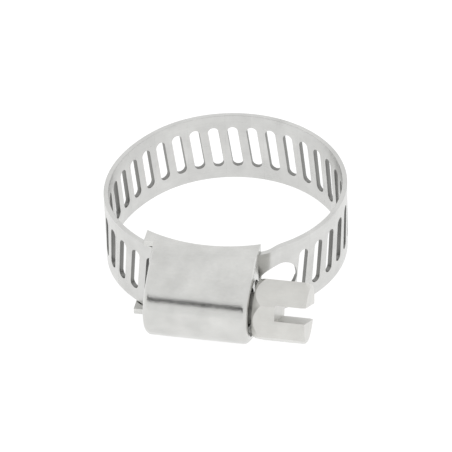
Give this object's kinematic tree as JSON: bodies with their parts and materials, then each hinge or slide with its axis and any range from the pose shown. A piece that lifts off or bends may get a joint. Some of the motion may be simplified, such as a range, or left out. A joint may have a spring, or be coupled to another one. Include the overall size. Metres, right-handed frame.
{
  "type": "worm-drive hose clamp",
  "caption": "Worm-drive hose clamp: perforated steel band ring, domed sheet housing and slotted hex worm screw.",
  "frame": {"origin": "on the axis of the band ring, at mid band width", "axes": "+Z along the ring axis, -Y towards the housing, +X along the screw towards its head"},
  "size_m": [0.0245, 0.0304, 0.0094],
  "materials": {
    "band_steel": "rolled stainless, fine grain",
    "housing_steel": "rolled stainless, bright",
    "screw_steel": "machined, bright plated"
  },
  "bodies": {
    "housing_and_fixed_band": {"housing": "housing_steel", "band_fixed_end": "band_steel"},
    "worm_screw_body": {"worm_screw": "screw_steel"},
    "band_free_end_body": {"band_free_end": "band_steel"},
    "band_section_01_body": {"band_section_01": "band_steel"},
    "band_section_02_body": {"band_section_02": "band_steel"},
    "band_section_03_body": {"band_section_03": "band_steel"},
    "band_section_04_body": {"band_section_04": "band_steel"},
    "band_section_05_body": {"band_section_05": "band_steel"},
    "band_section_06_body": {"band_section_06": "band_steel"},
    "band_section_07_body": {"band_section_07": "band_steel"},
    "band_section_08_body": {"band_section_08": "band_steel"},
    "band_section_09_body": {"band_section_09": "band_steel"},
    "band_section_10_body": {"band_section_10": "band_steel"},
    "band_section_11_body": {"band_section_11": "band_steel"},
    "band_section_12_body": {"band_section_12": "band_steel"},
    "band_section_13_body": {"band_section_13": "band_steel"}
  },
  "joints": [
    {"name": "screw_turn", "type": "hinge", "parent": "housing_and_fixed_band", "child": "worm_screw_body", "pos_m": [0, -0.01478, 0], "axis": [-1, 0, 0], "range_deg": [0, 720]},
    {"name": "band_feed", "type": "hinge", "parent": "housing_and_fixed_band", "child": "band_free_end_body", "pos_m": [0, 0, 0], "axis": [0, 0, 1], "range_deg": [0, 18.01]},
    {"name": "band_bend_01", "type": "hinge", "parent": "housing_and_fixed_band", "child": "band_section_01_body", "pos_m": [0.00919, -0.00691, 0], "axis": [0, 0, 1], "range_deg": [0, 2.88]},
    {"name": "band_bend_02", "type": "hinge", "parent": "housing_and_fixed_band", "child": "band_section_02_body", "pos_m": [0.00996, -0.00532, 0], "axis": [0, 0, 1], "range_deg": [0, 5.12]},
    {"name": "band_bend_03", "type": "hinge", "parent": "housing_and_fixed_band", "child": "band_section_03_body", "pos_m": [0.01024, -0.00401, 0], "axis": [0, 0, 1], "range_deg": [0, 6.55]},
    {"name": "band_bend_04", "type": "hinge", "parent": "housing_and_fixed_band", "child": "band_section_04_body", "pos_m": [0.01023, -0.00307, 0], "axis": [0, 0, 1], "range_deg": [0, 7.35]},
    {"name": "band_bend_05", "type": "hinge", "parent": "housing_and_fixed_band", "child": "band_section_05_body", "pos_m": [0.01007, -0.00236, 0], "axis": [0, 0, 1], "range_deg": [0, 7.87]},
    {"name": "band_bend_06", "type": "hinge", "parent": "housing_and_fixed_band", "child": "band_section_06_body", "pos_m": [0.00972, -0.00157, 0], "axis": [0, 0, 1], "range_deg": [0, 8.4]},
    {"name": "band_bend_07", "type": "hinge", "parent": "housing_and_fixed_band", "child": "band_section_07_body", "pos_m": [0.00899, -0.00058, 0], "axis": [0, 0, 1], "range_deg": [0, 9.12]},
    {"name": "band_bend_08", "type": "hinge", "parent": "housing_and_fixed_band", "child": "band_section_08_body", "pos_m": [0.00782, 0.00046, 0], "axis": [0, 0, 1], "range_deg": [0, 10.07]},
    {"name": "band_bend_09", "type": "hinge", "parent": "housing_and_fixed_band", "child": "band_section_09_body", "pos_m": [0.00631, 0.00128, 0], "axis": [0, 0, 1], "range_deg": [0, 11.22]},
    {"name": "band_bend_10", "type": "hinge", "parent": "housing_and_fixed_band", "child": "band_section_10_body", "pos_m": [0.00467, 0.00173, 0], "axis": [0, 0, 1], "range_deg": [0, 12.5]},
    {"name": "band_bend_11", "type": "hinge", "parent": "housing_and_fixed_band", "child": "band_section_11_body", "pos_m": [0.0031, 0.00174, 0], "axis": [0, 0, 1], "range_deg": [0, 13.86]},
    {"name": "band_bend_12", "type": "hinge", "parent": "housing_and_fixed_band", "child": "band_section_12_body", "pos_m": [0.00175, 0.00139, 0], "axis": [0, 0, 1], "range_deg": [0, 15.24]},
    {"name": "band_bend_13", "type": "hinge", "parent": "housing_and_fixed_band", "child": "band_section_13_body", "pos_m": [0.00071, 0.00078, 0], "axis": [0, 0, 1], "range_deg": [0, 16.62]}
  ],
  "couplings": [
    {"joint": "band_feed", "follows": "screw_turn", "ratio": 0.025},
    {"joint": "band_bend_01", "follows": "screw_turn", "ratio": 0.003981},
    {"joint": "band_bend_02", "follows": "screw_turn", "ratio": 0.007091},
    {"joint": "band_bend_03", "follows": "screw_turn", "ratio": 0.009083},
    {"joint": "band_bend_04", "follows": "screw_turn", "ratio": 0.010198},
    {"joint": "band_bend_05", "follows": "screw_turn", "ratio": 0.010912},
    {"joint": "band_bend_06", "follows": "screw_turn", "ratio": 0.011655},
    {"joint": "band_bend_07", "follows": "screw_turn", "ratio": 0.012659},
    {"joint": "band_bend_08", "follows": "screw_turn", "ratio": 0.013978},
    {"joint": "band_bend_09", "follows": "screw_turn", "ratio": 0.015565},
    {"joint": "band_bend_10", "follows": "screw_turn", "ratio": 0.017344},
    {"joint": "band_bend_11", "follows": "screw_turn", "ratio": 0.019231},
    {"joint": "band_bend_12", "follows": "screw_turn", "ratio": 0.021153},
    {"joint": "band_bend_13", "follows": "screw_turn", "ratio": 0.023075}
  ]
}
